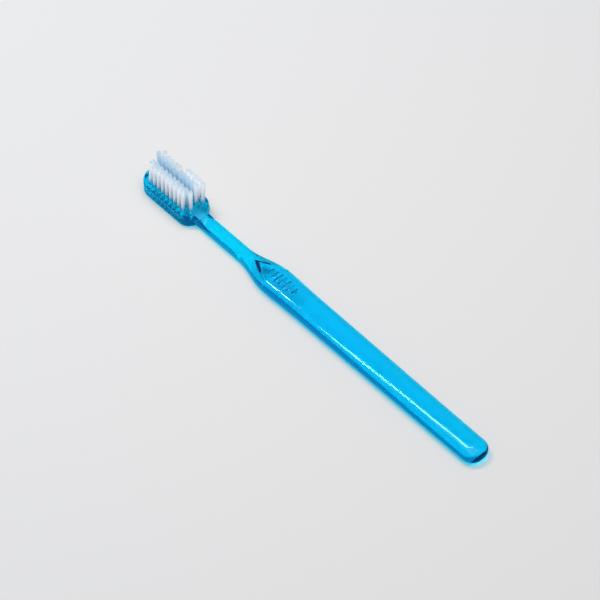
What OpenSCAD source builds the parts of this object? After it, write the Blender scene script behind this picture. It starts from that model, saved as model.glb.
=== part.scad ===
// Manual toothbrush in clear blue plastic, lying on its back with the bristles up.
// Origin at the middle of the length, on the surface it lies on. +X towards the end of the grip.

/* [Brush] */
// Length from the tip of the head to the end of the grip
length = 184.7; // [165:0.1:205]

/* [Head] */
// Width of the head
head_w = 13.5; // [12.4:0.1:14]
// Thickness of the head
head_t = 5.8; // [4.4:0.1:6.5]
// Length of the head from its tip to its shoulders
head_len = 30.3; // [27:0.1:35]
// Radius of the two shoulder corners of the head
shoulder_r = 5; // [4.2:0.1:5.4]
// Radius that breaks the edges of the head
head_edge_r = 0.8; // [0.3:0.1:1.2]
// Radius of the hollow corner between head and neck
fillet_r = 3.2; // [2:0.1:4]

/* [Neck] */
// Length of the straight neck
neck_len = 25; // [18:0.1:32]
// Width of the neck
neck_w = 6.1; // [4.6:0.1:6.4]
// Thickness of the neck
neck_t = 4.2; // [3.6:0.1:4.6]
// Gap between the neck and the surface that the brush lies on
neck_lift = 0.3; // [0.1:0.1:0.6]
// Length over which the neck widens to the grip
flare_len = 17; // [15:0.1:20]

/* [Grip] */
// Width at the swell beside the ribs
swell_w = 12.7; // [11.6:0.1:14]
// Width along the rest of the grip
grip_w = 12; // [10:0.1:12.5]
// Width just before the rounded end
end_w = 11.5; // [9:0.1:12]
// Thickness at the swell
grip_t = 6.3; // [5.9:0.1:8]
// Thickness just before the rounded end
end_t = 5.8; // [5:0.1:7.5]
// Length of the rounded end
end_round = 5.4; // [4:0.1:8]

/* [Chevron] */
// Distance from the start of the flare to the point of the chevron
chevron_offset = 6.4; // [6:0.1:8]
// Length of a chevron arm along the brush
arm_len = 5.3; // [5:0.1:7]
// Reach of a chevron arm across the brush
arm_reach = 2.9; // [2.4:0.1:3.4]
// Steepness of the chevron face, in degrees
ramp_angle = 48; // [40:1:60]

/* [Ribs] */
// Number of thumb ribs
rib_count = 7; // [4:1:8]
// Distance between ribs
rib_pitch = 2.2; // [1.8:0.1:2.4]
// Distance from the point of the chevron to the first rib
rib_offset = 9.1; // [8:0.1:11]
// Length of the longest rib
rib_len = 4.6; // [3:0.1:6]
// Width of a rib
rib_w = 0.9; // [0.8:0.1:1.3]
// Height of a rib above the grip
rib_h = 0.4; // [0.2:0.05:0.45]

/* [Tufts] */
// Distance between tufts in a row
tuft_pitch = 2.38; // [2.3:0.02:2.8]
// Distance between the two rows of a band
row_gap = 1.9; // [1.8:0.05:2.1]
// How far the third row stands nearer to the tip than the others
stagger = 1.6; // [0.8:0.1:1.6]
// Bore of a tuft hole
hole_d = 1.6; // [1.4:0.05:1.7]
// Depth of a tuft hole
hole_depth = 3.4; // [2.8:0.1:3.8]
// Plastic between the tip of the head and the first holes
tip_rim = 3; // [2.6:0.1:4.6]
// Plastic between the sides of the head and the outer holes
side_rim = 2; // [1.4:0.05:2.1]
// Plastic between the last holes and the end of the head
heel_rim = 2.6; // [2.4:0.1:4.6]
// Height of the bristles above the head
bristle_h = 10.2; // [8:0.1:12.5]
// Strands in the outer ring of a tuft
outer_strands = 9; // [7:1:9]
// Strands in the middle of a tuft
inner_strands = 3; // [3:1:4]
// Thickness of a strand, measured round its corners
strand_d = 0.3; // [0.2:0.02:0.3]
// Distance that an outer strand leans outward over its height
splay = 0.2; // [0:0.05:0.3]

/* [Anchors] */
// Width of an anchor plate
anchor_w = 2; // [1.85:0.05:2.1]
// Height of an anchor plate
anchor_h = 1.3; // [1:0.1:1.6]
// Thickness of an anchor plate
anchor_t = 0.25; // [0.2:0.01:0.3]
// Distance from the bottom of the hole to the anchor
anchor_floor = 0.5; // [0.3:0.05:0.7]
// Turn of the anchors from the length of the head, in degrees
anchor_turn = 20; // [0:5:30]

/* [Hidden] */
row_total = 4;
fit = 0.02; // clearance round a tuft root and an anchor
root_bite = 0.4; // depth to which a strand runs into its root
overrun = 1; // how far a cut runs past what it cuts
sink = 0.3; // depth to which joined shapes run into each other
rest_cut = 0.25; // how much of the round underside the flat takes away
seam_step = 0.05; // least distance between two skins that cross
swell_len = 22; // length over which the swell dies away
sides = 32; // points round a section of the grip
ring_step = 1.5; // distance between sections where the shape turns
ring_run = 8; // distance between sections where it runs straight
cap_rings = 9; // sections in the rounded end
crown_fall = 0.12; // fall of the crown of the grip at the ends of the longest rib
rib_end_turn = 6; // how far the ends of a rib run on inside the grip, in degrees
inner_ring_share = 0.26; // radius of the middle ring of strands, as a share of the root
outer_ring_share = 0.72; // radius of the outer ring, as a share of the root
inner_splay_share = 0.33; // lean of the middle ring, as a share of the lean of the outer ring
chevron_foot_share = 0.11; // height of the point of the chevron, from neck to grip
neck_start_share = 0.5; // how far the neck starts up the round of a shoulder
seam_share = 0.46; // height of the widest line of a section, as a share of its thickness
swell_power = 3; // how square a section of the grip is at the chevron, 2 is an ellipse
tail_power = 2.3; // the same at the rounded end
neck_power = 3.4; // the same for the neck
cap_power = 2.4; // how square the end is, seen from above
cap_height_power = 2.8; // how square the end is, seen from the side

tip_x = -length / 2;
shoulder_x = tip_x + head_len;
tip_r = head_w / 2;
shoulder_y = head_w / 2 - shoulder_r;
fillet_run = sqrt(pow(shoulder_r + fillet_r, 2) - pow(neck_w / 2 + fillet_r - shoulder_y, 2));
fillet_x = shoulder_x - shoulder_r + fillet_run;
fillet_y = neck_w / 2 + fillet_r;
fillet_touch_x = shoulder_x - shoulder_r + fillet_run * shoulder_r / (shoulder_r + fillet_r);
flare_x = shoulder_x + neck_len;
swell_x = flare_x + flare_len;
chevron_x = flare_x + chevron_offset;
end_x = length / 2;
cap_x = end_x - end_round;
neck_top = neck_lift + neck_t;
chevron_foot = mix(neck_top, grip_t, chevron_foot_share);
arm_turn = atan(arm_reach / arm_len);

outer_row = head_w / 2 - side_rim - hole_d / 2;
inner_row = outer_row - row_gap;
row_y = [-outer_row, -inner_row, inner_row, outer_row];
first_x = tip_x + tip_rim + hole_d / 2;
row_x = [first_x + stagger, first_x + stagger, first_x, first_x + stagger];
row_space = head_len - tip_rim - heel_rim - hole_d - stagger;
row_most = floor(row_space / tuft_pitch) + 1;
row_count = [row_most - 1, row_most, row_most, row_most];
hole_r = hole_d / 2;
root_r = hole_r - fit;
hole_floor = head_t - hole_depth;
anchor_z = hole_floor + anchor_floor;

function tuft_name(row, place) = str("tuft_", row, "_", place);
function anchors_name(row) = str("anchors_row_", row);
tuft_names = [for (row = [1:row_total]) for (place = [1:row_count[row - 1]]) tuft_name(row, place)];
anchor_names = [for (row = [1:row_total]) anchors_name(row)];

// Smooth step from 0 to 1 as x goes from a to b
function ease(x, a, b) = let(t = min(1, max(0, (x - a) / (b - a)))) t * t * (3 - 2 * t);
function mix(a, b, t) = a + (b - a) * t;
// Signed power, for rounded-box sections
function soft(v, power) = sign(v) * pow(abs(v), 2 / power);

// One section across the brush: half width, underside, top and squareness
function section(x, half_w, low, high, power) =
    let(seam = mix(low, high, seam_share))
    [for (i = [0:sides - 1])
        let(
            turn = 360 * i / sides,
            rise = sin(turn) > 0 ? high - seam : seam - low + rest_cut
        )
        [x, half_w * soft(cos(turn), power), max(low, seam + rise * soft(sin(turn), power))]
    ];

module loft(rings) {
    count = len(rings);
    points = [for (ring = rings) each ring];
    walls = [for (r = [0:count - 2]) for (i = [0:sides - 1])
        let(
            j = (i + 1) % sides,
            a = r * sides + i,
            b = r * sides + j,
            c = (r + 1) * sides + j,
            d = (r + 1) * sides + i
        )
        each [[a, c, b], [a, d, c]]
    ];
    first_cap = [[for (i = [0:sides - 1]) i]];
    last_cap = [[for (i = [0:sides - 1]) count * sides - 1 - i]];
    polyhedron(points = points, faces = concat(walls, first_cap, last_cap));
}

// Outline of the neck and flare, seen from above
function core_half_w(x) =
    x < fillet_touch_x ? shoulder_y + shoulder_r * neck_start_share
    : x < fillet_x ? fillet_y - sqrt(pow(fillet_r, 2) - pow(fillet_x - x, 2))
    : mix(neck_w / 2, swell_w / 2 - 2 * seam_step, ease(x, flare_x, swell_x));
function core_low(x) =
    mix(seam_step, neck_lift, ease(x, fillet_touch_x, fillet_x + fillet_r))
    + (seam_step - neck_lift) * ease(x, flare_x, chevron_x);
function core_high(x) =
    mix(head_t - seam_step, neck_top, ease(x, fillet_touch_x, fillet_x + fillet_r))
    + (grip_t - neck_top - 4 * seam_step) * ease(x, flare_x, swell_x + flare_len / 2);

module neck() {
    start_x = fillet_touch_x - head_edge_r;
    fillet_steps = 6;
    head_rings = [for (i = [0:fillet_steps - 1]) mix(fillet_touch_x, fillet_x, i / fillet_steps)];
    run_steps = ceil((flare_x - fillet_x) / ring_run);
    run_rings = [for (i = [0:run_steps - 1]) mix(fillet_x, flare_x, i / run_steps)];
    flare_steps = ceil((swell_x - flare_x) / ring_step);
    flare_rings = [for (i = [0:flare_steps]) mix(flare_x, swell_x, i / flare_steps)];
    stations = concat([start_x], head_rings, run_rings, flare_rings);
    loft([for (x = stations) section(x, core_half_w(x), core_low(x), core_high(x), neck_power)]);
}

// Outline of the grip, seen from above: narrow inside the flare, widest beside the ribs
function grip_half_w(x) =
    x < swell_x ? mix(neck_w / 2 - sink, swell_w / 2, ease(x, flare_x + ring_step, swell_x + ring_step))
    : x < swell_x + swell_len ? mix(swell_w, grip_w, ease(x, swell_x, swell_x + swell_len)) / 2
    : mix(grip_w, end_w, (x - swell_x - swell_len) / (cap_x - swell_x - swell_len)) / 2;
function grip_high(x) = mix(grip_t, end_t, ease(x, swell_x, cap_x));
function grip_power(x) = mix(swell_power, tail_power, ease(x, chevron_x, cap_x));

module grip() {
    start_x = flare_x + sink;
    turn_steps = ceil((swell_x + swell_len - start_x) / ring_step);
    turn_rings = [for (i = [0:turn_steps - 1]) mix(start_x, swell_x + swell_len, i / turn_steps)];
    run_steps = ceil((cap_x - swell_x - swell_len) / ring_run);
    run_rings = [for (i = [0:run_steps - 1]) mix(swell_x + swell_len, cap_x, i / run_steps)];
    body = [for (x = concat(turn_rings, run_rings))
        section(x, grip_half_w(x), 0, grip_high(x), grip_power(x))
    ];
    seam = end_t * seam_share;
    cap = [for (i = [0:cap_rings])
        let(
            t = sin(90 * i / (cap_rings + 1)),
            reach = t / sin(90 * cap_rings / (cap_rings + 1)),
            wide = pow(1 - pow(t, cap_power), 1 / cap_power),
            tall = pow(1 - pow(t, cap_height_power), 1 / cap_height_power)
        )
        section(cap_x + end_round * reach, end_w / 2 * wide, seam * (1 - tall), mix(seam, end_t, tall), tail_power)
    ];
    loft(concat(body, cap));
}

// Everything behind one face of the chevron
module behind_face() {
    reach = length;
    translate([chevron_x, 0, chevron_foot])
        rotate([0, 0, arm_turn])
            rotate([90 - ramp_angle, 0, 0])
                translate([-reach, -2 * reach, -reach])
                    cube([2 * reach, 2 * reach, 2 * reach]);
}

module grip_with_chevron() {
    intersection() {
        grip();
        behind_face();
        mirror([0, 1, 0]) behind_face();
    }
}

// A round-backed rib across the brush that bows down and runs into the grip at both ends
module rib(index) {
    x = chevron_x + rib_offset + index * rib_pitch;
    middle = (rib_count - 1) / 2;
    away = abs(index - middle) / (middle + 1);
    half_len = rib_len / 2 * sqrt(1 - pow(away, 2));
    fall = rib_h + crown_fall * pow(half_len / (rib_len / 2), 2);
    bow_r = (pow(half_len, 2) + pow(fall, 2)) / (2 * fall);
    half_turn = asin(half_len / bow_r) + rib_end_turn;
    translate([x, 0, grip_high(x) + rib_h - bow_r])
        rotate([0, -90, 0])
            rotate([0, 0, -half_turn])
                rotate_extrude(angle = 2 * half_turn, $fn = 64)
                    translate([bow_r - rib_w / 2, 0]) circle(d = rib_w, $fn = 24);
}

module rounded_disc(r) {
    rotate_extrude($fn = 64) {
        square([r - head_edge_r, head_t]);
        translate([0, head_edge_r]) square([r, head_t - 2 * head_edge_r]);
        translate([r - head_edge_r, head_edge_r]) circle(r = head_edge_r, $fn = 32);
        translate([r - head_edge_r, head_t - head_edge_r]) circle(r = head_edge_r, $fn = 32);
    }
}

module rounded_bar(x_from, x_to, width) {
    translate([x_from, 0, 0]) rotate([90, 0, 90]) linear_extrude(height = x_to - x_from) {
        translate([-width / 2, head_edge_r]) square([width, head_t - 2 * head_edge_r]);
        translate([head_edge_r - width / 2, 0]) square([width - 2 * head_edge_r, head_t]);
        for (side = [-1, 1]) for (z = [head_edge_r, head_t - head_edge_r])
            translate([side * (width / 2 - head_edge_r), z]) circle(r = head_edge_r, $fn = 32);
    }
}

module head_plate() {
    translate([tip_x + tip_r, 0, 0]) rounded_disc(tip_r);
    rounded_bar(tip_x + tip_r, shoulder_x - shoulder_r, head_w);
    for (side = [-1, 1])
        translate([shoulder_x - shoulder_r, side * shoulder_y, 0]) rounded_disc(shoulder_r);
}

// Places something at one tuft
module at_tuft(row, place) {
    translate([row_x[row - 1] + (place - 1) * tuft_pitch, row_y[row - 1], 0]) children();
}

module anchor_plate(room) {
    translate([0, 0, anchor_z + anchor_h / 2])
        rotate([0, 0, anchor_turn])
            cube([anchor_w + 2 * room, anchor_t + 2 * room, anchor_h + 2 * room], center = true);
}

module handle() {
    color([0.02, 0.62, 0.88, 0.75]) difference() {
        union() {
            head_plate();
            neck();
            grip_with_chevron();
            for (index = [0:rib_count - 1]) rib(index);
        }
        for (row = [1:row_total]) for (place = [1:row_count[row - 1]]) at_tuft(row, place) {
            translate([0, 0, hole_floor]) cylinder(h = hole_depth + overrun, r = hole_r, $fn = 24);
            anchor_plate(fit);
        }
    }
}

// A three-sided strand that leans outward from the middle of its tuft
module strand(turn, ring_r, lean) {
    foot_z = head_t - root_bite;
    tip_z = head_t + bristle_h;
    corner = strand_d / 2;
    foot = [for (i = [0:2]) [ring_r + corner * cos(120 * i), corner * sin(120 * i), foot_z]];
    tip = [for (i = [0:2]) [ring_r + lean + corner * cos(120 * i), corner * sin(120 * i), tip_z]];
    walls = [for (i = [0:2]) let(j = (i + 1) % 3) each [[i, j + 3, j], [i, i + 3, j + 3]]];
    rotate([0, 0, turn])
        polyhedron(points = concat(foot, tip), faces = concat(walls, [[0, 1, 2]], [[5, 4, 3]]));
}

module tuft(row, place) {
    color([0.94, 0.96, 0.98]) at_tuft(row, place) {
        difference() {
            translate([0, 0, hole_floor + fit])
                cylinder(h = hole_depth - fit, r = root_r, $fn = 24);
            anchor_plate(fit);
        }
        for (i = [0:outer_strands - 1])
            strand(360 * i / outer_strands, root_r * outer_ring_share, splay);
        for (i = [0:inner_strands - 1])
            strand(360 * i / inner_strands, root_r * inner_ring_share, splay * inner_splay_share);
    }
}

module anchors(row) {
    color([0.78, 0.66, 0.38])
        for (place = [1:row_count[row - 1]]) at_tuft(row, place) anchor_plate(0);
}

handle();
for (row = [1:row_total]) for (place = [1:row_count[row - 1]])
    tuft(row, place);
for (row = [1:row_total])
    anchors(row);
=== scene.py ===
import bpy
import math
import random
import numpy as np
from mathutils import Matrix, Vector


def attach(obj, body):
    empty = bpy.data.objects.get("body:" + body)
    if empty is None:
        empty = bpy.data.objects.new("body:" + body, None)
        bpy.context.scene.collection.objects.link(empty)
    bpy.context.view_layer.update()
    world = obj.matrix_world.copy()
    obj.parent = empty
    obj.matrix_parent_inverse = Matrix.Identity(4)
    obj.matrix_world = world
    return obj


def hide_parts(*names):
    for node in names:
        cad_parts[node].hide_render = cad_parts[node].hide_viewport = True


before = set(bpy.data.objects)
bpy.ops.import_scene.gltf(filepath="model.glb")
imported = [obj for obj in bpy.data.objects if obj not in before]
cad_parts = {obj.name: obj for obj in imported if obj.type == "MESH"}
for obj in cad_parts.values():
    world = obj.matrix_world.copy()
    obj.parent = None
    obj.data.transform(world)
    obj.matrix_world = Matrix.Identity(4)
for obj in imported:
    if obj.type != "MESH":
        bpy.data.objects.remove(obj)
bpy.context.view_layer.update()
mm = 0.001
print("frame loaded:", len(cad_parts), "nodes")

# Sizes of the brush in millimetres, the same as in the part's source
brush = {
    "length": 184.7,
    "headW": 13.5, "headT": 5.8, "headLen": 30.3,
    "shoulderR": 5.0, "headEdgeR": 0.8, "filletR": 3.2,
    "neckLen": 25.0, "neckW": 6.1, "neckT": 4.2, "neckLift": 0.3, "flareLen": 17.0,
    "swellW": 12.7, "swellLen": 22.0, "gripW": 12.0, "endW": 11.5,
    "gripT": 6.3, "endT": 5.8, "endRound": 5.4,
    "chevronOffset": 6.4, "armLen": 5.3, "armReach": 2.9,
    "rampAngle": 48.0,                      # steepness of the chevron's faces, in degrees
    "chevronFoot": 0.11,                    # height of the chevron's point between neck and grip, as a share
    "ribCount": 7, "ribPitch": 2.2, "ribOffset": 9.1,
    "ribLen": 4.6, "ribW": 0.9, "ribH": 0.4,
    "crownFall": 0.12,                      # fall of the grip's crown at the ends of the longest rib
    "seam": 0.46,                           # height of a section's widest line, as a share of its thickness
    "restCut": 0.25,                        # how much of the round underside the flat takes away
    "swellPower": 3.0,                      # how square the grip is at the chevron; 2 is an ellipse
    "tailPower": 2.3, "neckPower": 3.4,     # the same at the rounded end, and for the neck
    "capPower": 2.4, "capHeightPower": 2.8,     # how square the end is, seen from above and from the side
    "seamStep": 0.05,                       # least distance between two skins that cross
    "sink": 0.3,                            # how far inside the neck each side of the grip starts
}
tipX = -brush["length"] / 2
shoulderX = tipX + brush["headLen"]
flareX = shoulderX + brush["neckLen"]
swellX = flareX + brush["flareLen"]
tailX = swellX + brush["swellLen"]
chevronX = flareX + brush["chevronOffset"]
endX = brush["length"] / 2
capX = endX - brush["endRound"]
neckTop = brush["neckLift"] + brush["neckT"]
armTurn = math.atan(brush["armReach"] / brush["armLen"])


# Handle: in each section, rays from the middle find the skin of head, neck, grip, chevron and ribs,
# which run softly together, and one loft goes over the sections. Lengths in mm, angles in degrees
handle = {
    "rays": 361,                            # rays up one side of a section
    "reach": 9.0,                           # a length that is past every skin
    "halvings": 26,                         # how often the search on a ray halves its step
    "ringPoints": 81,                       # points up one side of a section
    "tipTurns": (1.5, 90, 46),              # sections round the tip: first angle, last angle and number
    "endTurns": (4, 88.9, 26),              # the same round the end
    "shoulderRun": (-6, 7),                 # stretch of close sections before and after the shoulders
    "flareRun": 3,                          # distance from the end of the neck to closer sections again
    "ribRun": (-1, 25),                     # stretch of the closest sections, from the chevron's point
    "steps": (0.5, 0.22, 0.9, 0.4, 0.16, 1.0),      # distance between sections on each stretch, from the tip
    "filletMost": 0.98,                     # how deep into the hollow corner the neck widens, as a share
    "neckSettle": 2.6,                      # where the neck starts to leave the height of the head
    "neckRoot": 3.6,                        # how far the neck starts inside the head
    "gripDelay": 1.5,                       # how far the grip widens behind the neck
    "capMost": 0.99999,                     # just short of the very end, where a section vanishes
    "rampEnd": 8,                           # the chevron cuts nothing further than this behind the swell
    "ribFloor": 4.0,                        # height from which the ribs count
    "joinSoft": 0.3,                        # softness where the neck runs into the head
    "sideSoft": 0.6,                        # softness where the sides of neck and grip run together
    "chevronSoft": 0.14,                    # softness at the foot and the edge of the chevron
    "softHeights": (3.0, 4.2),              # heights between which the one softness turns into the other
    "leastSoft": 0.02,                      # softness that is left at the swell
    "softEnd": (-7, -1),                    # stretch before the swell on which it gets there
    "ribSoft": 0.1,                         # softness at the feet of the ribs
    "holeSides": 28, "holeOverrun": 1,
    "smoothAngle": 38,                      # edges sharper than this stay sharp
}
# Faces of the chevron and the ribs that get painted shade, darker than the rest, in mm
paintedShadeFaces = {
    "nearBand": (-0.3, 0.95),               # width of the chevron's face, seen from above
    "farBand": (-0.3, 1.3),
    "armOver": 0.5, "armFloor": 4,          # how far the face runs past its arm, and its least height
    "footFloor": 5.9,                       # height from which the feet of the ribs count
    "footPlace": 0.35,                      # how many rib widths the far foot lies from the rib's middle
    "footBand": 0.26,                       # half width of the far foot
}


def ease(x, a, b):
    t = np.clip((x - a) / (b - a), 0, 1)
    return t * t * (3 - 2 * t)


def mix(a, b, t):
    return a + (b - a) * t


def softMin(a, b, k):
    h = np.maximum(k - np.abs(a - b), 0) / k
    return np.minimum(a, b) - h * h * k / 4


def softMax(a, b, k):
    return -softMin(-a, -b, k)


# The distance functions give about how far a point is outside a form, and less than 0 inside it
def ovalDistance(y, z, halfW, low, high, power):
    seam = mix(low, high, brush["seam"])
    rise = np.where(z > seam, high - seam, seam - low + brush["restCut"])
    share = ((np.abs(y) / halfW) ** power + (np.abs(z - seam) / rise) ** power) ** (1 / power)
    return np.maximum((share - 1) * np.minimum(halfW, rise), low - z)


def headDistance(x, y, z):
    half = brush["headW"] / 2
    r = brush["shoulderR"]
    side = np.abs(y)
    disc = np.hypot(x - tipX - half, y) - half
    bar = np.maximum(side - half, np.maximum(tipX + half - x, x - shoulderX + r))
    reach = np.maximum(side - (half - r), 0)
    back = np.hypot(x - shoulderX + r, reach) - r
    outline = np.minimum(np.minimum(disc, bar), back)
    edge = brush["headEdgeR"]
    flat = np.abs(z - brush["headT"] / 2) - brush["headT"] / 2 + edge
    wall = outline + edge
    inside = np.minimum(np.maximum(wall, flat), 0)
    return np.hypot(np.maximum(wall, 0), np.maximum(flat, 0)) + inside - edge


# Half width of the neck, and where the hollow corner at the head ends
def neckOutline(x):
    half = brush["neckW"] / 2
    widen = mix(half, brush["swellW"] / 2 - 2 * brush["seamStep"], ease(x, flareX, swellX))
    r = brush["filletR"]
    across = half + r - brush["headW"] / 2 + brush["shoulderR"]
    run = math.sqrt((brush["shoulderR"] + r) ** 2 - across ** 2)
    filletX = shoulderX - brush["shoulderR"] + run
    into = np.clip(filletX - x, 0, r * handle["filletMost"])
    return widen + r - np.sqrt(r * r - into * into), filletX


def neckDistance(x, y, z):
    halfW, filletX = neckOutline(x)
    step = brush["seamStep"]
    leave = ease(x, filletX - handle["neckSettle"], filletX + brush["filletR"])
    low = mix(step, brush["neckLift"], leave) + (step - brush["neckLift"]) * ease(x, flareX, chevronX)
    high = mix(brush["headT"] - step, neckTop, leave)
    climb = ease(x, flareX, swellX + brush["flareLen"] / 2)
    high = high + (brush["gripT"] - neckTop - 4 * step) * climb
    body = ovalDistance(y, z, halfW, low, high, brush["neckPower"])
    return np.maximum(body, np.maximum(filletX - handle["neckRoot"] - x, x - swellX))


# Half width, underside and top of the grip
def gripOutline(x):
    widen = ease(x, flareX + handle["gripDelay"], swellX + handle["gripDelay"])
    flare = mix(brush["neckW"] / 2 - brush["sink"], brush["swellW"] / 2, widen)
    settle = mix(brush["swellW"], brush["gripW"], ease(x, swellX, tailX)) / 2
    taper = mix(brush["gripW"], brush["endW"], np.clip((x - tailX) / (capX - tailX), 0, 1)) / 2
    halfW = np.where(x < swellX, flare, np.where(x < tailX, settle, taper))
    t = np.clip((x - capX) / brush["endRound"], 0, handle["capMost"])
    wide = (1 - t ** brush["capPower"]) ** (1 / brush["capPower"])
    tall = (1 - t ** brush["capHeightPower"]) ** (1 / brush["capHeightPower"])
    seam = brush["endT"] * brush["seam"]
    top = mix(brush["gripT"], brush["endT"], ease(x, swellX, capX))
    low = np.where(x > capX, seam * (1 - tall), 0)
    high = np.where(x > capX, mix(seam, brush["endT"], tall), top)
    return halfW * wide, low, high


# How far a point lies behind the foot line of the chevron's nearer arm, seen from above
def behindArm(x, y):
    return (x - chevronX) * math.sin(armTurn) - np.abs(y) * math.cos(armTurn)


def gripDistance(x, y, z):
    halfW, low, high = gripOutline(x)
    power = mix(brush["swellPower"], brush["tailPower"], ease(x, chevronX, capX))
    body = ovalDistance(y, z, halfW, low, high, power)
    slope = math.radians(brush["rampAngle"])
    foot = mix(neckTop, brush["gripT"], brush["chevronFoot"])
    ramp = (z - foot) * math.cos(slope) - behindArm(x, y) * math.sin(slope)
    ramp = np.where(x > swellX + handle["rampEnd"], body, ramp)
    return softMax(body, ramp, handle["chevronSoft"])


# Half the length of a rib: the middle one is the longest
def ribHalfLen(index):
    middle = (brush["ribCount"] - 1) / 2
    away = abs(index - middle) / (middle + 1)
    return brush["ribLen"] / 2 * math.sqrt(1 - away ** 2)


def ribDistance(x, y, z):
    nearest = np.full(np.broadcast(x, y, z).shape, handle["reach"])
    tube = brush["ribW"] / 2
    for index in range(brush["ribCount"]):
        ribX = chevronX + brush["ribOffset"] + index * brush["ribPitch"]
        top = mix(brush["gripT"], brush["endT"], float(ease(ribX, swellX, capX)))
        halfLen = ribHalfLen(index)
        fall = brush["ribH"] + brush["crownFall"] * (halfLen / (brush["ribLen"] / 2)) ** 2
        bowR = (halfLen ** 2 + fall ** 2) / (2 * fall)
        ring = np.hypot(y, z - top - brush["ribH"] + bowR) - (bowR - tube)
        nearest = np.minimum(nearest, np.hypot(ring, x - ribX) - tube)
    return np.maximum(nearest, handle["ribFloor"] - z)


def handleDistance(x, y, z):
    body = softMin(headDistance(x, y, z), neckDistance(x, y, z), handle["joinSoft"])
    fade = mix(handle["sideSoft"], handle["chevronSoft"], ease(z, *handle["softHeights"]))
    first, last = handle["softEnd"]
    fade = mix(fade, handle["leastSoft"], ease(x, swellX + first, swellX + last))
    body = softMin(body, gripDistance(x, y, z), fade)
    return np.maximum(softMin(body, ribDistance(x, y, z), handle["ribSoft"]), -z)


# Places of the sections along the brush, close together where the shape turns
def stations():
    tipR = brush["headW"] / 2
    borders = [tipX + tipR] + [shoulderX + run for run in handle["shoulderRun"]]
    borders += [flareX + handle["flareRun"]] + [chevronX + run for run in handle["ribRun"]] + [capX]
    xs = [tipX + tipR * (1 - math.cos(math.radians(a))) for a in np.linspace(*handle["tipTurns"])]
    for first, last, step in zip(borders, borders[1:], handle["steps"]):
        count = math.ceil((last - first) / step)
        xs += [mix(first, last, (i + 1) / count) for i in range(count)]
    xs += [capX + brush["endRound"] * math.sin(math.radians(a)) for a in np.linspace(*handle["endTurns"])]
    return np.array(xs)


def handleRings():
    xs = stations()
    turns = np.radians(np.linspace(-90, 90, handle["rays"]))
    centreZ = mix(brush["headT"] / 2, brush["endT"] * brush["seam"], ease(xs, 0, capX))[:, None]
    x = xs[:, None] + np.zeros((1, len(turns)))
    dy, dz = np.cos(turns)[None, :], np.sin(turns)[None, :]
    near, far = np.zeros_like(x), np.full_like(x, handle["reach"])
    for _ in range(handle["halvings"]):
        half = (near + far) / 2
        outside = handleDistance(x, half * dy, centreZ + half * dz) > 0
        far = np.where(outside, half, far)
        near = np.where(outside, near, half)
    y, z = far * dy, centreZ + far * dz
    rings = []
    for i, ringX in enumerate(xs):
        run = np.concatenate([[0], np.cumsum(np.hypot(np.diff(y[i]), np.diff(z[i])))])
        even = np.linspace(0, run[-1], handle["ringPoints"])
        ys, zs = np.interp(even, run, y[i]), np.interp(even, run, z[i])
        ys[0] = ys[-1] = 0
        right = [(ringX * mm, a * mm, b * mm) for a, b in zip(ys, zs)]
        left = [(ringX * mm, -a * mm, b * mm) for a, b in zip(ys[-2:0:-1], zs[-2:0:-1])]
        rings.append(right + left)
    return rings


# A level ring of points round a spot, from one radius for each point, all in mm
def roundRing(x, y, z, radii):
    turns = [2 * math.pi * i / len(radii) for i in range(len(radii))]
    return [((x + r * math.cos(a)) * mm, (y + r * math.sin(a)) * mm, z * mm) for a, r in zip(turns, radii)]


# Skin over a row of rings, closed at both ends; way is -1 where the rings turn the other way round
def addTube(points, faces, rings, way=1):
    first, sides = len(points), len(rings[0])
    last = first + (len(rings) - 1) * sides
    for ring in rings:
        points.extend(ring)
    for a in range(first, last, sides):
        for i in range(sides):
            j = (i + 1) % sides
            faces.append((a + i,) + (a + j, a + sides + j, a + sides + i)[::way])
    faces.append(tuple(range(first, first + sides))[::-way])
    faces.append(tuple(range(last, last + sides))[::way])


def newPiece(name, points, faces):
    mesh = bpy.data.meshes.new(name)
    mesh.from_pydata(points, [], faces)
    piece = bpy.data.objects.new(name, mesh)
    bpy.context.scene.collection.objects.link(piece)
    return piece


# Tufts: rows run along the head, row 1 on the near side; places and pitch are those of the source
tufts = {
    "pitch": 2.38, "rowGap": 1.9, "stagger": 1.6, "holeD": 1.6, "holeDepth": 3.4,
    "tipRim": 3.0, "sideRim": 2.0, "height": 10.2,
    "counts": (9, 10, 10, 10),              # tufts in rows 1 to 4
    "anchorTurn": 20.0,
    "filaments": 44, "filamentD": 0.18, "filamentSides": 6,
    "rootR": 0.60, "topR": 0.91,            # radius of the bundle at the mouth of its hole and at the top
    "heights": (0, 0.2, 0.45, 0.72, 0.97, 1),       # points up a filament, as shares of its free length
    "tipGrow": 0.62,                        # radius of the rounded tip, as a share of the filament's
    "bendPower": 1.5,                       # above 1, a lean or a stray grows faster near the top
    "startBelow": 0.1,                      # depth at which a filament starts in the pressed root
    "spiral": 2.399963, "spiralStray": 0.15,        # turn from one filament to the next, in radians
    "strayTop": 0.05, "trim": 0.035,        # spread of the tops sideways and in height
}
# How the top of each tuft leans, in mm along the head and across it
leans = {
    1: [(-0.1, 1.3)] + [(0, 0.3)] * 8,
    2: [(-0.1, 0.2)] + [(0, 0)] * 8 + [(0.1, 0)],
    3: [(-0.5, 0.3), (-0.1, 0), (-0.1, 0), (-0.2, 0), (-0.5, -0.1)]
    + [(0.6, 0.3), (0.3, 0.2), (0.1, 0.1), (0.1, 0.1), (0.1, 0)],
    4: [(-0.6, 0.3), (-0.1, -0.4), (-0.2, -0.5), (-0.3, -0.5), (-0.7, -0.4)]
    + [(0.6, 0.9), (0.3, 0.9), (0.1, 0.8), (0.1, 0.8), (0.1, 0.7)],
}
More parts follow.
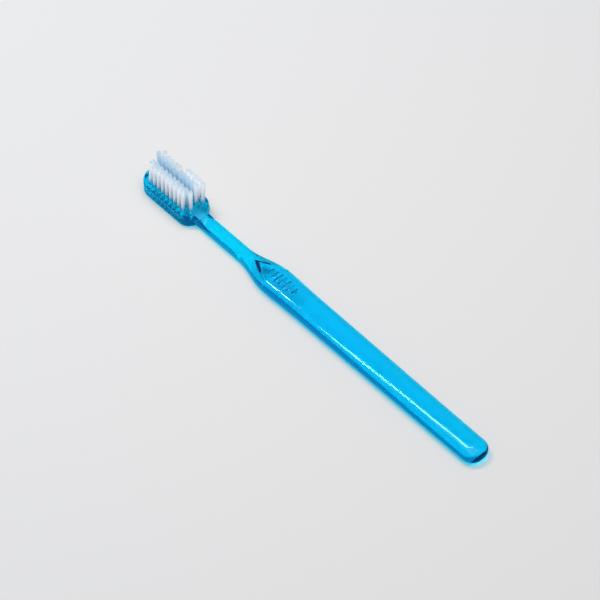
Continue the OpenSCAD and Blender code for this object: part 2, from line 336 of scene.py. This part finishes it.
# The root of a tuft, pressed and ridged by its hole; levels from the bottom up, radii as shares
pressedRoot = {
    "radius": 0.76, "offFloor": 0.12, "belowMouth": 0.5, "sides": 26,
    "footH": 0.25, "lipH": 0.2,
    "levelShares": (0.72, 0.95, 1.0, 0.98, 0.9),
    "ridge": 0.05, "wear": 0.03,
}
outerRow = brush["headW"] / 2 - tufts["sideRim"] - tufts["holeD"] / 2
innerRow = outerRow - tufts["rowGap"]
rowY = {1: -outerRow, 2: -innerRow, 3: innerRow, 4: outerRow}
firstX = tipX + tufts["tipRim"] + tufts["holeD"] / 2
laterX = firstX + tufts["stagger"]
rowX = {1: laterX, 2: laterX, 3: firstX, 4: laterX}
places = [(row, place) for row in rowY for place in range(1, tufts["counts"][row - 1] + 1)]
holeFloor = brush["headT"] - tufts["holeDepth"]
rootTop = brush["headT"] - pressedRoot["belowMouth"]


def tuftSpot(row, place):
    return rowX[row] + (place - 1) * tufts["pitch"], rowY[row]


def cutHoles(piece):
    points, faces = [], []
    radii = [tufts["holeD"] / 2] * handle["holeSides"]
    for row, place in places:
        x, y = tuftSpot(row, place)
        levels = (holeFloor, brush["headT"] + handle["holeOverrun"])
        addTube(points, faces, [roundRing(x, y, z, radii) for z in levels])
    cutter = newPiece("holeCutters", points, faces)
    cut = piece.modifiers.new("holes", "BOOLEAN")
    cut.object = cutter
    cut.operation = "DIFFERENCE"
    cut.solver = "EXACT"
    bpy.context.view_layer.update()
    shaped = bpy.data.meshes.new_from_object(piece.evaluated_get(bpy.context.evaluated_depsgraph_get()))
    piece.modifiers.clear()
    piece.data = shaped
    bpy.data.objects.remove(cutter)


# Which finish of the plastic a face gets: 0 for the clear body, 1 for the painted shade on the chevron's
# near arm,
# 2 for the darker painted shade on its far arm and on the feet of the ribs
def paintedShadeAt(x, y, z):
    arm = x - chevronX < brush["armLen"] + paintedShadeFaces["armOver"] and abs(y) < brush["armReach"]
    low, high = paintedShadeFaces["farBand"] if y > 0 else paintedShadeFaces["nearBand"]
    if z > paintedShadeFaces["armFloor"] and arm and low < behindArm(x, y) < high:
        return 2 if y > 0 else 1
    first = chevronX + brush["ribOffset"]
    index = round((x - first) / brush["ribPitch"])
    if z < paintedShadeFaces["footFloor"] or index < 0 or index >= brush["ribCount"]:
        return 0
    foot = x - first - index * brush["ribPitch"] + brush["ribW"] * paintedShadeFaces["footPlace"]
    return 2 if abs(y) < ribHalfLen(index) and abs(foot) < paintedShadeFaces["footBand"] else 0


def buildHandle():
    points, faces = [], []
    addTube(points, faces, handleRings(), way=-1)
    piece = newPiece("blueHandle", points, faces)
    piece.data.validate()
    cutHoles(piece)
    for face in piece.data.polygons:
        face.use_smooth = True
        # Faces of the chevron and of the rib feet get finishes tinted with painted shade
        face.material_index = paintedShadeAt(*(face.center / mm))
    bpy.context.view_layer.objects.active = piece
    piece.select_set(True)
    bpy.ops.object.shade_smooth_by_angle(angle=math.radians(handle["smoothAngle"]))
    piece.select_set(False)
    return piece


def addRoot(points, faces, x, y, draw):
    low = holeFloor + pressedRoot["offFloor"]
    foot, lip = low + pressedRoot["footH"], rootTop - pressedRoot["lipH"]
    heights = (low, foot, (low + rootTop) / 2, lip, rootTop)
    bumps = [
        1 - pressedRoot["ridge"] * (i % 2) - draw.uniform(0, pressedRoot["wear"])
        for i in range(pressedRoot["sides"])
    ]
    addTube(points, faces, [
        roundRing(x, y, z, [pressedRoot["radius"] * share * bump for bump in bumps])
        for z, share in zip(heights, pressedRoot["levelShares"])
    ])


def buildTuft(row, place):
    draw = random.Random(1000 * row + place)
    x, y = tuftSpot(row, place)
    leanX, leanY = leans[row][place - 1]
    turn = math.radians(tufts["anchorTurn"])
    topZ = brush["headT"] + tufts["height"]
    radii = [tufts["filamentD"] / 2] * tufts["filamentSides"]
    tipRadii = [tufts["tipGrow"] * r for r in radii]
    points, faces = [], []
    for i in range(tufts["filaments"]):
        spread = tufts["rootR"] * math.sqrt((i + 0.5) / tufts["filaments"])
        angle = turn + i * tufts["spiral"] + draw.uniform(-tufts["spiralStray"], tufts["spiralStray"])
        mouthX, mouthY = spread * math.cos(angle), spread * math.sin(angle)
        strayX, strayY = draw.gauss(0, tufts["strayTop"]), draw.gauss(0, tufts["strayTop"])
        end = topZ - abs(draw.gauss(0, tufts["trim"]))
        rings = [roundRing(x + mouthX, y + mouthY, rootTop - tufts["startBelow"], radii)]
        for t in tufts["heights"]:
            grow = mix(1, tufts["topR"] / tufts["rootR"], t)
            bend = t ** tufts["bendPower"]
            rings.append(roundRing(
                x + mouthX * grow + (leanX + strayX) * bend,
                y + mouthY * grow + (leanY + strayY) * bend,
                mix(brush["headT"], end, t),
                tipRadii if t == 1 else radii,
            ))
        addTube(points, faces, rings)
    addRoot(points, faces, x, y, draw)
    piece = newPiece(f"bristles_{row}_{place}", points, faces)
    for face in piece.data.polygons:
        face.use_smooth = len(face.vertices) == 4
    return piece


# Materials
def freshMaterial(name):
    mat = bpy.data.materials.new(name)
    mat.use_nodes = True
    tree = mat.node_tree
    return mat, tree, tree.nodes["Principled BSDF"], tree.nodes["Material Output"]


def addNode(tree, kind, values=None, **settings):
    node = tree.nodes.new(kind)
    for key, value in settings.items():
        setattr(node, key, value)
    for key, value in (values or {}).items():
        node.inputs[key].default_value = value
    return node


# Roughness that wanders between two values in small spots; gives the spots back
def roughSpots(tree, shader, place, scale, least, most):
    spots = addNode(tree, "ShaderNodeTexNoise", {"Scale": scale})
    level = addNode(tree, "ShaderNodeMapRange", {"To Min": least, "To Max": most})
    tree.links.new(place.outputs["Object"], spots.inputs["Vector"])
    tree.links.new(spots.outputs["Fac"], level.inputs["Value"])
    tree.links.new(level.outputs["Result"], shader.inputs["Roughness"])
    return spots


# Lets lamp light on through a skin as if through tinted glass, so that what lies behind it isn't dark
def letLightOn(tree, surface, tint, out):
    path = addNode(tree, "ShaderNodeLightPath")
    window = addNode(tree, "ShaderNodeBsdfTransparent", {"Color": tint})
    both = addNode(tree, "ShaderNodeMixShader")
    tree.links.new(path.outputs["Is Shadow Ray"], both.inputs["Fac"])
    tree.links.new(surface, both.inputs[1])
    tree.links.new(window.outputs["BSDF"], both.inputs[2])
    tree.links.new(both.outputs["Shader"], out.inputs["Surface"])


# Clear blue plastic takes its colour with depth; its finishes, the clear body and two tints of painted
# shade, come in the order of the faces' material numbers
clearPlastic = {
    "ior": 1.5,
    "absorbColour": (0, 0.945, 0.992, 1), "absorbDensity": 900.0,
    "shadowTint": (0.2, 0.66, 0.685, 1),    # how much lamp light each skin lets on
    "skin": (0.25, 0.6, 0.6, 1),            # tint of what the surface mirrors
    "waveScale": 60.0, "waveDetail": 1,     # slow ripple of a moulded surface, with its height in mm
    "waveHeight": 0.0008, "waveStrength": 0.1,
    "rubScale": 900, "rubLeast": 0.6, "rubMost": 1.5,       # faint rub marks, as shares of the roughness
    "finishesWithPaintedShade": {                           # tint and roughness; the tints of the chevron's faces and of the rib feet are painted shade; the chevron's near face has a moulded grain
        "clearBluePlastic": ((1, 1, 1, 1), 0.03),
        "blueStepPaintedShade": ((0.02, 0.32, 1, 1), 0.38),
        "deepBlueFootPaintedShade": ((0.02, 0.13, 0.60, 1), 0.03),
    },
}


def clearBlueMaterial(name, tint, roughness):
    mat, tree, shader, out = freshMaterial(name)
    # The tint is painted shade on the chevron and rib-foot finishes, and white on the body
    shader.inputs["Base Color"].default_value = tint
    shader.inputs["IOR"].default_value = clearPlastic["ior"]
    shader.inputs["Transmission Weight"].default_value = 1
    shader.inputs["Specular Tint"].default_value = clearPlastic["skin"]
    place = addNode(tree, "ShaderNodeTexCoord")
    least, most = roughness * clearPlastic["rubLeast"], roughness * clearPlastic["rubMost"]
    roughSpots(tree, shader, place, clearPlastic["rubScale"], least, most)
    wave = {"Scale": clearPlastic["waveScale"], "Detail": clearPlastic["waveDetail"]}
    ripple = addNode(tree, "ShaderNodeTexNoise", wave)
    bumpSize = {"Strength": clearPlastic["waveStrength"], "Distance": clearPlastic["waveHeight"] * mm}
    bump = addNode(tree, "ShaderNodeBump", bumpSize)
    tree.links.new(place.outputs["Object"], ripple.inputs["Vector"])
    tree.links.new(ripple.outputs["Fac"], bump.inputs["Height"])
    tree.links.new(bump.outputs["Normal"], shader.inputs["Normal"])
    letLightOn(tree, shader.outputs["BSDF"], clearPlastic["shadowTint"], out)
    depth = addNode(tree, "ShaderNodeVolumeAbsorption")
    depth.inputs["Color"].default_value = clearPlastic["absorbColour"]
    depth.inputs["Density"].default_value = clearPlastic["absorbDensity"]
    tree.links.new(depth.outputs["Volume"], out.inputs["Volume"])
    return mat


# Nylon: its colour from the floor of the hole, at 0, to the cut tips, at 1. The nylon is near white; the
# blue at the roots and just above the head is painted blue light from the plastic, and the bluish grey at
# the cut tips is painted shade with a blue cast
nylon = {
    "outer": (                              # rows 1 and 4
        (0.20, (0.05, 0.93, 1, 1)), (0.235, (0.25, 0.85, 0.98, 1)), (0.27, (0.82, 0.93, 1, 1)),
        (0.40, (0.98, 0.985, 1, 1)), (0.94, (0.985, 0.99, 1, 1)), (1.0, (0.86, 0.93, 0.97, 1)),
    ),
    "innerPaintedShade": (                              # rows 2 and 3, bluer and darker: painted blue light and shade between the rows
        (0.20, (0.05, 0.93, 1, 1)), (0.235, (0.15, 0.80, 0.97, 1)), (0.30, (0.48, 0.84, 0.98, 1)),
        (0.50, (0.76, 0.92, 0.985, 1)), (0.90, (0.90, 0.95, 0.985, 1)), (1.0, (0.86, 0.93, 0.96, 1)),
    ),
    "innerRows": (2, 3), "lastInner": 9,    # their last tufts stand in the open, as the outer ones do, and get no painted shade
    "roughness": 0.25, "through": 0.5,      # through: share of the light that goes through a strand
    "shadowTint": (0.92, 0.94, 0.96, 1),    # how much lamp light each skin of a strand lets on
}


def nylonMaterial(name, coloursWithPaintedLight):
    mat, tree, shader, out = freshMaterial(name)
    shader.inputs["Roughness"].default_value = nylon["roughness"]
    place = addNode(tree, "ShaderNodeTexCoord")
    split = addNode(tree, "ShaderNodeSeparateXYZ")
    height = {"From Min": holeFloor * mm, "From Max": (brush["headT"] + tufts["height"]) * mm}
    climb = addNode(tree, "ShaderNodeMapRange", height)
    ramp = addNode(tree, "ShaderNodeValToRGB")
    stops = ramp.color_ramp.elements
    while len(stops) < len(coloursWithPaintedLight):
        stops.new(1)
    for stop, (share, colour) in zip(stops, coloursWithPaintedLight):
        stop.position = share
        stop.color = colour
    glow = addNode(tree, "ShaderNodeBsdfTranslucent")
    both = addNode(tree, "ShaderNodeMixShader", {"Fac": nylon["through"]})
    tree.links.new(place.outputs["Object"], split.inputs["Vector"])
    tree.links.new(split.outputs["Z"], climb.inputs["Value"])
    tree.links.new(climb.outputs["Result"], ramp.inputs["Fac"])
    # The ramp carries the painted blue light and shade into the strands
    tree.links.new(ramp.outputs["Color"], shader.inputs["Base Color"])
    tree.links.new(ramp.outputs["Color"], glow.inputs["Color"])
    tree.links.new(shader.outputs["BSDF"], both.inputs[1])
    tree.links.new(glow.outputs["BSDF"], both.inputs[2])
    letLightOn(tree, both.outputs["Shader"], nylon["shadowTint"], out)
    return mat


brass = {
    "colour": (0.9, 0.84, 0.66, 1), "dull": (0.8, 0.72, 0.55, 1),
    "spotScale": 1500, "roughLeast": 0.28, "roughMost": 0.455,
}


def brassMaterial():
    mat, tree, shader, out = freshMaterial("anchorBrass")
    shader.inputs["Metallic"].default_value = 1
    place = addNode(tree, "ShaderNodeTexCoord")
    spots = roughSpots(tree, shader, place, brass["spotScale"], brass["roughLeast"], brass["roughMost"])
    ramp = addNode(tree, "ShaderNodeValToRGB")
    ramp.color_ramp.elements[0].color = brass["dull"]
    ramp.color_ramp.elements[1].color = brass["colour"]
    tree.links.new(spots.outputs["Fac"], ramp.inputs["Fac"])
    tree.links.new(ramp.outputs["Color"], shader.inputs["Base Color"])
    return mat


blueHandle = buildHandle()
for name, (tint, roughness) in clearPlastic["finishesWithPaintedShade"].items():
    blueHandle.data.materials.append(clearBlueMaterial(name, tint, roughness))
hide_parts("handle")
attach(blueHandle, "root")
print("handle built:", len(blueHandle.data.polygons), "faces")

outerNylon = nylonMaterial("nylonOuterRows", nylon["outer"])
innerNylonPaintedShade = nylonMaterial("nylonInnerRowsPaintedShade", nylon["innerPaintedShade"])
for row, place in places:
    tuft = buildTuft(row, place)
    # Inner tufts get the nylon with painted shade and painted blue light
    inside = row in nylon["innerRows"] and place <= nylon["lastInner"]
    tuft.data.materials.append(innerNylonPaintedShade if inside else outerNylon)
    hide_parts(f"tuft_{row}_{place}")
    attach(tuft, "root")
print("tufts built:", len(places))

brassLook = brassMaterial()
for name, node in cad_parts.items():
    if name.startswith("anchors_row"):
        node.data.materials.clear()
        node.data.materials.append(brassLook)
print("anchors finished")


# Floor, room and lamps, in metres and watts
studio = {
    "floorColour": (0.80, 0.80, 0.81, 1), "floorSize": 6.0, "floorRoughness": 0.9, "floorShine": 0.1,
    "paintedFloorReflection": (0.10, 0.85, 1, 1),    # painted reflection: the bluer colour the floor shows in rays mirrored off the plastic's skin
    "floorDrop": 0.00002,                   # keeps the floor's face off the underside of the brush
    "worldColour": (0.45, 0.72, 1, 1), "worldStrength": 0.40,
    "worldThrough": 0.55,                   # the pale room as it is seen through the plastic
    "clearBounces": 32,                     # light runs far inside clear plastic
    "otherBounces": 16,
}
# The overhead lamp is warm where the room is blue, so that the floor comes out neutral. The two strips
# give the bright line along the grip and the one beside the ribs
lamps = {
    "overhead": {"at": (0.073, 0.05, 1.0), "size": 1.0, "power": 5.9, "colour": (1, 0.77, 0.53)},
    "streak": {"at": (-0.405, -0.03, 0.97), "size": 0.05, "long": 0.88, "turn": -14, "power": 2.8},
    "swell": {"at": (-0.55, -0.12, 0.97), "size": 0.07, "long": 0.2, "power": 2.2},
}
# Camera fitted to the brush's own points in the photograph; focal length and sensor in mm, angles in degrees
camera = {
    "aim": (-0.00617, 0.00051, 0.00292), "away": 1.2,
    "turn": 48.063, "climb": 50.0,          # turn from the view along +Y, and height above the floor
    "focal": 192.973, "sensor": 36, "sees": 20,
}


def buildFloor():
    half = studio["floorSize"] / 2
    corners = [(-half, -half, 0), (half, -half, 0), (half, half, 0), (-half, half, 0)]
    floor = newPiece("floor", corners, [(0, 1, 2, 3)])
    floor.location.z = -studio["floorDrop"]
    mat, tree, shader, out = freshMaterial("paleFloor")
    shader.inputs["Roughness"].default_value = studio["floorRoughness"]
    shader.inputs["Specular IOR Level"].default_value = studio["floorShine"]
    # Painted reflection: glossy rays that are not bent through the plastic see the floor in a bluer colour
    path = addNode(tree, "ShaderNodeLightPath")
    paintedReflectionMask = addNode(tree, "ShaderNodeMath", operation="SUBTRACT", use_clamp=True)
    coloursWithPaintedLight = {"A": studio["floorColour"], "B": studio["paintedFloorReflection"]}
    colour = addNode(tree, "ShaderNodeMix", coloursWithPaintedLight, data_type="RGBA")
    tree.links.new(path.outputs["Is Glossy Ray"], paintedReflectionMask.inputs[0])
    tree.links.new(path.outputs["Is Transmission Ray"], paintedReflectionMask.inputs[1])
    tree.links.new(paintedReflectionMask.outputs["Value"], colour.inputs["Factor"])
    tree.links.new(colour.outputs["Result"], shader.inputs["Base Color"])
    floor.data.materials.append(mat)


def buildRoom():
    world = bpy.data.worlds.new("softRoom")
    bpy.context.scene.world = world
    world.use_nodes = True
    tree = world.node_tree
    back = tree.nodes["Background"]
    back.inputs["Color"].default_value = studio["worldColour"]
    path = addNode(tree, "ShaderNodeLightPath")
    strengths = {"To Min": studio["worldStrength"], "To Max": studio["worldThrough"]}
    level = addNode(tree, "ShaderNodeMapRange", strengths)
    tree.links.new(path.outputs["Is Transmission Ray"], level.inputs["Value"])
    tree.links.new(level.outputs["Result"], back.inputs["Strength"])


def buildLamps():
    for name, lamp in lamps.items():
        light = bpy.data.lights.new(name, "AREA")
        light.shape = "RECTANGLE" if "long" in lamp else "DISK"
        light.size = lamp["size"]
        if "long" in lamp:
            light.size_y = lamp["long"]
        light.energy = lamp["power"]
        light.color = lamp.get("colour", (1, 1, 1))
        holder = bpy.data.objects.new(name, light)
        holder.location = lamp["at"]
        holder.rotation_euler = (0, 0, math.radians(lamp.get("turn", 0)))
        holder.visible_transmission = False     # no bright spots of the lamps inside the plastic
        bpy.context.scene.collection.objects.link(holder)


def buildCamera():
    turn, climb = math.radians(camera["turn"]), math.radians(camera["climb"])
    looks = Vector((-math.sin(turn) * math.cos(climb), math.cos(turn) * math.cos(climb), -math.sin(climb)))
    lens = bpy.data.cameras.new("view")
    lens.sensor_width = camera["sensor"]
    lens.lens = camera["focal"]
    lens.clip_end = camera["sees"]
    view = bpy.data.objects.new("view", lens)
    view.location = Vector(camera["aim"]) - looks * camera["away"]
    view.rotation_euler = looks.to_track_quat("-Z", "Y").to_euler()
    bpy.context.scene.collection.objects.link(view)
    bpy.context.scene.camera = view


buildFloor()
buildRoom()
buildLamps()
buildCamera()
bpy.context.scene.view_settings.view_transform = "Standard"
bpy.context.scene.cycles.max_bounces = studio["clearBounces"]
bpy.context.scene.cycles.transmission_bounces = studio["clearBounces"]
bpy.context.scene.cycles.glossy_bounces = studio["otherBounces"]
bpy.context.scene.cycles.diffuse_bounces = studio["otherBounces"]
print("studio ready")
